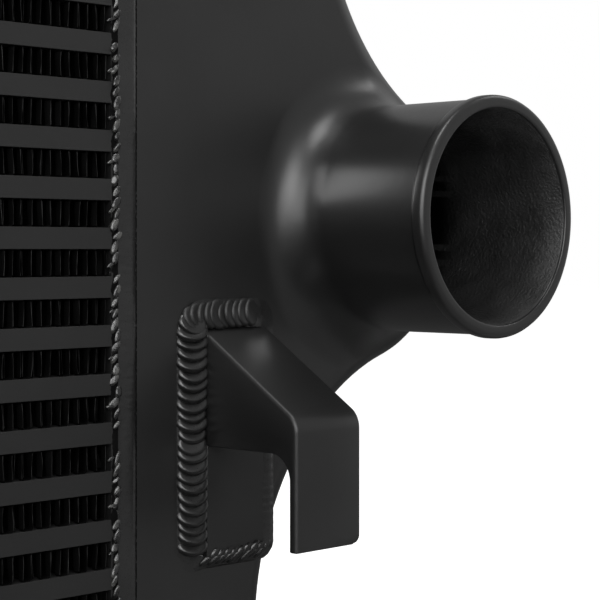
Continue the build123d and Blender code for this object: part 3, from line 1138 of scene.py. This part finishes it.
def bent_sheet(end, side):
    """The arm, the tab and the web, one folded sheet drawn section by section."""
    stations = arm_stations()
    e, fold = sheared_edge, fold_radius

    def section(top, under, facing, low, width):
        """The outline across the sheet at a station, from the web's lower edge round to it."""
        rise = top - low
        up = rise / np.linalg.norm(rise)
        below = min(e, np.linalg.norm(under - low) / 2)
        points = [(e, low), (0.0, low + e * up), (0.0, top - fold * facing)]
        for lean in (0.4, 0.8, 1.2):
            points.append((fold * (1 - cos(lean)), top - fold * (1 - sin(lean)) * facing))
        return points + [
            (fold, top), (width / 2, top), (width - e, top),
            (width - 0.3 * e, top - 0.3 * e * facing), (width, top - e * facing),
            (width, under + e * facing), (width - e, under), (plate, under),
            (plate, low + below * up), (plate - max(below, 0.1), low),
        ]

    sections = [
        section(top, top - plate * facing, facing, low, width)
        for (top, facing, width), low in zip(stations, web_edge(stations))
    ]
    # The tab's lower end, drawn in by the softened edge
    top, _, width = stations[-1]
    sections.append([
        (np.clip(x, e, width - e),
         np.array([np.clip(point[0], tab_reach - plate + e, tab_reach - e), top[1] - e]))
        for x, point in sections[-1]
    ])
    count = len(sections[0])
    last = count * (len(sections) - 1)
    faces = banded(count, len(sections))
    faces += [tuple(range(count)), tuple(last + i for i in reversed(range(count)))]
    corners = [
        placed(side, bracket_left + x, out, foot_top + up)
        for points in sections for x, (out, up) in points
    ]
    sheet = shown(f"{end}_bent_sheet", corners, faces, powder_on_plate, 180)
    closed_mesh(sheet)
    sheet.data.set_sharp_from_angle(angle=radians(50))
    return sheet


def foot_plate(end, side):
    """The foot, which ends under the arm at its top."""
    low, top = foot_top - foot_size[1], foot_top - foot_cut
    profile = [(-foot_sunk, low), (plate, low), (plate, top), (-foot_sunk, top)]
    corners = [
        placed(side, bracket_left + x, out, z) for x in (0.0, foot_size[0]) for out, z in profile
    ]
    faces = banded(4, 2) + [(3, 2, 1, 0), (4, 5, 6, 7)]
    foot = shown(f"{end}_foot", corners, faces, powder_on_plate, 180)
    closed_mesh(foot)
    edge = foot.modifiers.new("edges", "BEVEL")
    edge.width = sheared_edge * mm
    edge.segments = 3
    edge.limit_method = "ANGLE"
    edge.angle_limit = radians(50)
    settled(foot)
    foot.data.shade_smooth()
    foot.data.set_sharp_from_angle(angle=radians(40))
    return foot


for side, end in ((1, "right"), (-1, "left")):
    folded = [bent_sheet(end, side), foot_plate(end, side)]
    bracket = joined_pieces(f"{end}_folded_bracket", folded)
    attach(bracket, "root")
    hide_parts(f"{end}_bracket")

# Bracket welds
# The bead round the bracket's foot: bold stacked coins up its inner side and along its top, a
# thin smooth fillet down its outer side, and small slanting ripples along its bottom.

bead_width = {"inner": 10.0, "top": 9.0, "outer": 5.0, "bottom": 4.0}
bead_start = {"inner": -0.2, "top": -0.2, "outer": -3.3, "bottom": -2.6}
bead_rise = {"inner": 0.5, "top": 0.4, "outer": 1.0, "bottom": 0.8}
bead_section = [
    (0.0, 3.1), (0.06, 3.23), (0.16, 3.42), (0.3, 3.58), (0.45, 3.52), (0.6, 3.1), (0.74, 2.3),
    (0.87, 1.2), (1.0, -0.1),
]
coin_pitch = 3.15
stroke_pitch = 2.9
fillet_step = 0.45
fillet_ripple = 2.7
fillet_most = 3.79
lean_off_plate = 0.28
corner_turns = (0.3, 0.8, 1.3)
fillet_corner = 1.6
fillet_wander = 0.25
fillet_relief = 0.2
wash_height = 3.3

low = foot_top - foot_size[1]
foot_middle = np.array([bracket_left + foot_size[0] / 2, low + foot_size[1] / 2])
foot_half = np.array(foot_size) / 2


def by_side(values, way):
    """A value for each of the foot's four sides, blended at its corners."""
    a, b = way
    shares = {"outer": max(a, 0), "inner": max(-a, 0), "top": max(b, 0), "bottom": max(-b, 0)}
    return sum(values[key] * share ** 2 for key, share in shares.items())


def foot_fillet(side):
    """A fillet all round the foot, washed over its outer and lower edge, rippled along those."""
    path, ways = round_the_box(*foot_half, fillet_corner, fillet_step)
    count = len(path)
    spread = np.random.default_rng(5)
    wander = np.convolve(spread.normal(0, 1, count + 8), np.ones(9) / 3, "valid")
    corners = []
    for share, rise in bead_section:
        for i, (point, way) in enumerate(zip(path, ways)):
            # Its edge on the plate wanders a little, and ripples cross it
            start = by_side(bead_start, way) + fillet_wander * wander[i] * (share < 0.2)
            step = start + share * (by_side(bead_width, way) - start)
            a, b = point + way * step
            ripple = abs((b / fillet_ripple + 0.2 * wander[i]) % 1 - 0.5)
            # It thins out at the top of the outer side and at the inner end of the bottom
            fade = np.clip((foot_half[1] - 4 - b) / 5, 0.2, 1) if way[0] > 0.1 else 1.0
            if way[1] < -0.1:
                fade = min(fade, np.clip((a + foot_half[0] + 1) / 5, 0.1, 1))
            out = rise * by_side(bead_rise, way) * fade
            # Along the bottom it is drawn up over the plate's edge
            if way[1] < -0.5:
                out = wash_height * (1 - share ** 1.3) * min(1, fade + 0.2)
            if 0.04 < share < 0.9 and way[1] > -0.5:
                out -= fillet_relief * ripple
            a, b = foot_middle + (a, b)
            corners.append(placed(side, a, min(out, fillet_most), b))
    for share in (1.0, 0.0):
        for point, way in zip(path, ways):
            start = by_side(bead_start, way)
            a, b = foot_middle + point + way * (start + share * (by_side(bead_width, way) - start))
            corners.append(placed(side, a, -1.0, b))
    return corners, banded(count, len(bead_section) + 2, closed=True, flipped=side > 0)


def coin_run():
    """Spots and directions of the coins: up the inner side, round the corner, along the top."""
    inner_x = bracket_left - 4.6
    top_z = foot_top + 3.8
    turn = 3.6
    spots, onward = [], []
    for z in np.arange(low + 4.3, top_z - turn, coin_pitch):
        spots.append((inner_x, z))
        onward.append((0.0, 1.0))
    centre = np.array([inner_x + turn, top_z - turn])
    for angle in (pi - turned for turned in corner_turns):
        spots.append(tuple(centre + turn * np.array([cos(angle), sin(angle)])))
        onward.append((sin(angle), -cos(angle)))
    for x in np.arange(centre[0] + 1.6, bracket_left + 22, coin_pitch * 0.92):
        spots.append((x, top_z + 0.03 * (x - centre[0])))
        onward.append((1.0, 0.0))
    return spots, onward


bold_coin = shown("bold_coin", *weld_coin(28, rimmed), powder_on_welds, 180)
slim_coin = shown("slim_coin", *weld_coin(20, domed), powder_on_welds, 180)

for side, end in ((1, "right"), (-1, "left")):
    corners, faces = foot_fillet(side)
    fillet = shown(f"{end}_foot_fillet", corners, faces, powder_on_welds, 60)
    spread = np.random.default_rng(23)
    spots, outward, onward, sizes = [], [], [], []
    for (x, z), (a, b) in zip(*coin_run()):
        # Each coin lies tipped back on the one before it, and leans off the plate
        tip = 0.52 - 0.3 * a + spread.normal(0, 0.05)
        spots.append((
            side * (x + spread.normal(0, 0.12)), -(face_out + 0.85 + spread.normal(0, 0.08)),
            z + spread.normal(0, 0.14),
        ))
        outward.append((
            side * (a * sin(tip) - lean_off_plate * abs(b)), -cos(tip),
            b * sin(tip) + 0.3 * lean_off_plate * abs(a),
        ))
        onward.append((side * a, 0.0, b))
        sizes.append((
            (5.4 - 0.8 * a * a + spread.normal(0, 0.12)) * mm,
            (3.9 + spread.normal(0, 0.15)) * mm,
            (1.45 - 0.4 * a + spread.normal(0, 0.06)) * mm,
        ))
    coins = row_of_welds(
        f"{end}_foot_coins", spots, outward, onward, sizes, bold_coin, powder_on_welds, 1, 0.06
    )
    # The coins along the top lie under a thicker film of powder, as dull as on the bars
    coins.data.materials.append(powder_on_bars)
    faces_each = len(coins.data.polygons) // len(spots)
    for face in coins.data.polygons:
        face.material_index = int(abs(onward[face.index // faces_each][0]) > 0.5)
    spots, outward, onward, sizes = [], [], [], []
    for x in np.arange(bracket_left + 1.6, bracket_left + foot_size[0] - 1, stroke_pitch):
        spots.append((side * x, -(face_out + 2.0), low - 0.4 + spread.normal(0, 0.25)))
        outward.append((side * -0.62, -0.78, 0.08))
        onward.append((side * 0.62, -0.4, 0.68))
        sizes.append((
            1.25 * mm, (3.8 + spread.normal(0, 0.4)) * mm, (0.9 + spread.normal(0, 0.1)) * mm
        ))
    strokes = row_of_welds(
        f"{end}_foot_strokes", spots, outward, onward, sizes, slim_coin, powder_on_welds, 2, 0.08
    )
    weld = joined_pieces(f"{end}_foot_bead", [fillet, coins, strokes])
    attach(weld, "root")
    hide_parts(f"{end}_bracket_weld")
bpy.data.objects.remove(bold_coin)
bpy.data.objects.remove(slim_coin)

# Studio
# A pale floor and a white background, soft lamps above and beside the cooler, and cards round it,
# which only the reflections show, so that the black coat keeps its depth.


def where_seen(tree):
    """1 where the camera, a reflection or glass shows the surface, and 0 where it only lights."""
    path = add_node(tree, "ShaderNodeLightPath")
    total = path["Is Camera Ray"]
    for ray in ("Is Glossy Ray", "Is Transmission Ray"):
        total = add_node(tree, "ShaderNodeMath", {0: total, 1: path[ray]}, {
            "operation": "ADD", "use_clamp": True,
        })[0]
    return total


world = bpy.data.worlds.new("white_studio")
bpy.context.scene.world = world
world.use_nodes = True
sky = world.node_tree
sky.nodes.clear()
soft, white = [
    add_node(sky, "ShaderNodeBackground", {"Color": linear("#ffffff"), "Strength": strength})[0]
    for strength in (0.4, 1.0)
]
both = add_node(sky, "ShaderNodeMixShader", {0: where_seen(sky), 1: soft, 2: white})[0]
add_node(sky, "ShaderNodeOutputWorld", {"Surface": both})

# White background paper: the light that falls on it keeps the cooler's shadow, and where it is
# seen it is bright enough to run into the white background.
paper, ground = new_material("white_background_paper")
diffuse = add_node(ground, "ShaderNodeBsdfDiffuse", {"Color": linear("#e6e6e6")})[0]
glow = add_node(ground, "ShaderNodeEmission", {"Color": linear("#ffffff"), "Strength": 0.7})[0]
bright = add_node(ground, "ShaderNodeAddShader", {0: diffuse, 1: glow})[0]
surface = add_node(ground, "ShaderNodeMixShader", {
    0: where_seen(ground), 1: diffuse, 2: bright,
})[0]
add_node(ground, "ShaderNodeOutputMaterial", {"Surface": surface})


def level_sheet(x_low, y_low, x_high, y_high, z):
    """The corners of a level rectangle."""
    return [(x_low, y_low, z), (x_high, y_low, z), (x_high, y_high, z), (x_low, y_high, z)]


def upright_sheet(start, end, low, high):
    """The corners of an upright rectangle between two points of the ground."""
    return [(*start, low), (*end, low), (*end, high), (*start, high)]


floor = shown("floor", level_sheet(-6, -6, 6, 6, 0), [(0, 1, 2, 3)], paper)


def card(name, corners, colour, strength=1.0, one_sided=False):
    """A card of one even tone, which only reflections show."""
    tone, tree = new_material(f"card_of_{name}")
    light = add_node(tree, "ShaderNodeEmission", {
        "Color": linear(colour), "Strength": strength,
    })[0]
    if one_sided:
        back = add_node(tree, "ShaderNodeNewGeometry")["Backfacing"]
        nothing = add_node(tree, "ShaderNodeBsdfTransparent")[0]
        light = add_node(tree, "ShaderNodeMixShader", {0: back, 1: light, 2: nothing})[0]
    add_node(tree, "ShaderNodeOutputMaterial", {"Surface": light})
    faces = [tuple(range(i, i + 4)) for i in range(0, len(corners), 4)]
    made = shown(name, corners, faces, tone)
    made.visible_camera = made.visible_diffuse = made.visible_shadow = False
    made.visible_transmission = made.visible_volume_scatter = False


def bent_wall(radius, start, end, low, high):
    """The corners of a bent wall round the lit point, from one compass angle to another."""
    corners, steps = [], 8
    for step in range(steps):
        near, far = (
            (lit[0] - radius * sin(angle), lit[1] - radius * cos(angle))
            for angle in (radians(start + (end - start) * (step + s) / steps) for s in (0, 1))
        )
        corners += upright_sheet(near, far, low, high)
    return corners


lit = (0.4, -0.05, 0.165)
ceiling = 1.7
# What the coat mirrors: greys in front, above, below and at the right back, black at the left
card("grey_front", upright_sheet((0.15, -2.4), (2.4, -0.5), 0, ceiling), "#bbbbbb")
card("grey_front_floor", [
    (0.36, -0.12, 0.002), (1.2, -0.12, 0.002), (2.4, -0.5, 0.002), (0.15, -2.4, 0.002),
], "#929292")
card("black_left", [
    *upright_sheet((0.15, -2.4), (-2.4, -2.0), 0, ceiling),
    *upright_sheet((-2.4, -2.0), (-2.4, 0.6), 0, ceiling),
    *level_sheet(-2.4, -2.4, 0.36, 0.9, 0.001),
], "#141414")
card("grey_floor", level_sheet(0.36, -0.12, 2.4, 1.4, 0.001), "#5a5a5a")
card("grey_ceiling", level_sheet(-2.4, -2.4, 2.4, 1.2, ceiling), "#a8a8a8")
card("grey_right_back", upright_sheet((2.2, -0.2), (0.6, 2.2), 0, 1.5), "#b8b8b8")
# The bright bands down the castings and up the neck, as from windows at the left
card("white_left", bent_wall(1.9, 16, 82, 0.12, 1.3), "#ffffff", 4.8)
card("pale_left", bent_wall(1.9, 10, 110, 1.3, 1.69), "#ffffff", 1.8)
# Slips close to the metal, one for the flare's highlight beside the neck and one for the arm's
card("neck_slip", [
    (0.352, -0.0405, 0.190), (0.380, -0.0405, 0.172), (0.380, -0.0405, 0.196),
    (0.352, -0.0405, 0.222),
], "#ffffff", 3.6, one_sided=True)
card("arm_slip", [
    (0.3702, -0.0421, 0.1375), (0.3757, -0.0421, 0.1317), (0.3770, -0.0485, 0.1329),
    (0.3715, -0.0485, 0.1387),
], "#ffffff", 0.9, one_sided=True)

lit_point = Vector(lit)
for name, way, distance, size, radiance in (
    ("front_softbox", (-0.56, -0.66, 0.42), 1.5, (0.6, 0.6), 4.5),
    ("top_softbox", (-0.20, -0.25, 0.90), 1.3, (0.5, 0.5), 9.0),
    ("back_softbox", (-0.36, 0.70, 0.62), 1.6, (0.9, 0.35), 2.0),
    ("right_softbox", (0.74, -0.20, 0.64), 0.9, (0.25, 0.25), 3.5),
):
    lamp = bpy.data.lights.new(name, "AREA")
    lamp.shape = "RECTANGLE"
    lamp.size, lamp.size_y = size
    lamp.energy = radiance * pi * size[0] * size[1]
    holder = linked(name, lamp)
    holder.location = lit_point + Vector(way).normalized() * distance
    holder.rotation_euler = (holder.location - lit_point).to_track_quat("Z", "Y").to_euler()

eye = bpy.data.cameras.new("eye")
eye.lens = 106.8
eye.sensor_width = 36
eye.shift_y = -50 / 600
eye.clip_start = 0.02
camera = linked("eye", eye)
camera.location = (-28.9 * mm, -447.9 * mm, 156.05 * mm)
camera.rotation_euler = (radians(90), 0, radians(-45.8))
bpy.context.scene.camera = camera
bpy.context.scene.view_settings.view_transform = "Standard"
